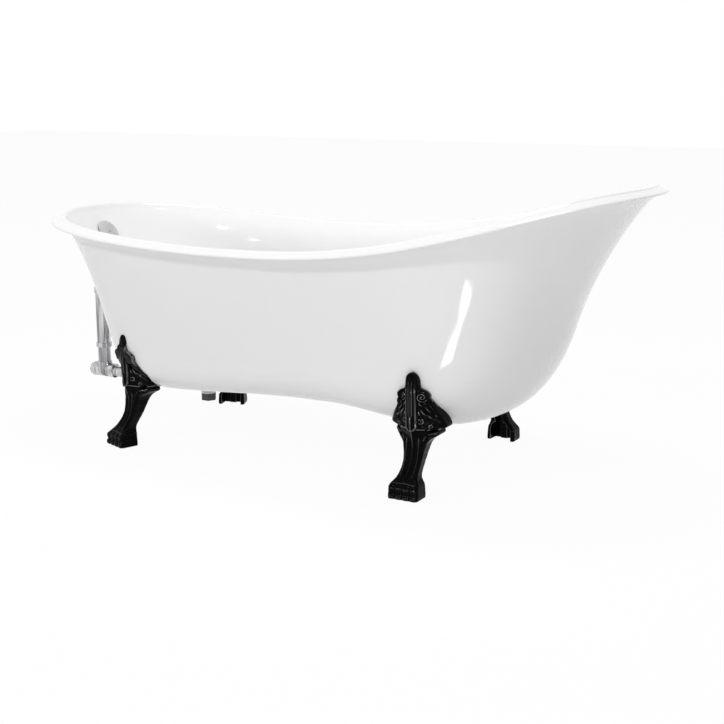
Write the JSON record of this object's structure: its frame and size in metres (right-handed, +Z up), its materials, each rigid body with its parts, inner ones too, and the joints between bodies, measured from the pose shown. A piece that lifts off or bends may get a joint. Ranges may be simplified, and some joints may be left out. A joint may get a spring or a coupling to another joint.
{
  "type": "clawfoot slipper bathtub",
  "caption": "Freestanding double-walled slipper bathtub, white with a flared lip, on black cast lion-paw feet, with exposed chrome waste and overflow pipes and a push stopper.",
  "frame": {"origin": "on the floor, under the middle of the rim's outline", "axes": "+Z up, +X along the tub towards the raised slipper end, -Y towards the near side"},
  "size_m": [1.7, 0.7882, 0.7281],
  "materials": {
    "gel_white_inner": "gloss",
    "gel_white_outer": "gloss",
    "plywood": "matte",
    "timber": "matte",
    "zinc_steel": "satin",
    "black_iron": "gloss",
    "chrome": "mirror",
    "brass_rough": "satin",
    "black_rubber": "matte",
    "sealing_putty": "matte",
    "white_plastic": "satin",
    "grey_plastic": "satin",
    "spring_steel": "satin"
  },
  "bodies": {
    "tub": {"inner_basin": "gel_white_inner", "outer_skirt": "gel_white_outer", "support_board": "plywood", "board_blocks": "timber", "block_screws": "zinc_steel", "cradle_slipper": "zinc_steel", "cradle_drain": "zinc_steel", "foot_slipper_near": "black_iron", "foot_slipper_far": "black_iron", "foot_drain_near": "black_iron", "foot_drain_far": "black_iron", "foot_studs": "zinc_steel", "foot_washers": "zinc_steel", "foot_nuts": "zinc_steel", "drain_strainer": "chrome", "drain_flange_seal": "sealing_putty", "drain_shoe_gasket": "black_rubber", "drain_shoe": "white_plastic", "shoe_outlet_nut": "grey_plastic", "stopper_cartridge": "brass_rough", "overflow_outer_gasket": "black_rubber", "wall_spacer": "white_plastic", "overflow_inner_gasket": "black_rubber", "overflow_nipple": "brass_rough", "overflow_cover": "chrome", "overflow_screw": "chrome", "overflow_elbow": "chrome", "standpipe": "chrome", "riser_tube": "chrome", "waste_pipe": "chrome", "waste_tee": "chrome", "tee_cap": "chrome", "elbow_slip_nut": "chrome", "tee_slip_nut": "chrome", "shoe_slip_nut": "chrome", "slip_washers": "black_rubber", "riser_collar": "chrome", "stopper_spring": "spring_steel"},
    "stopper": {"stopper_cap": "chrome", "stopper_seal": "black_rubber", "stopper_plunger": "brass_rough"}
  },
  "joints": [
    {"name": "stopper_slide", "type": "slide", "parent": "tub", "child": "stopper", "axis": [0, 0, 1], "range_m": [0, 0.009], "deforming": ["stopper_spring"]}
  ]
}
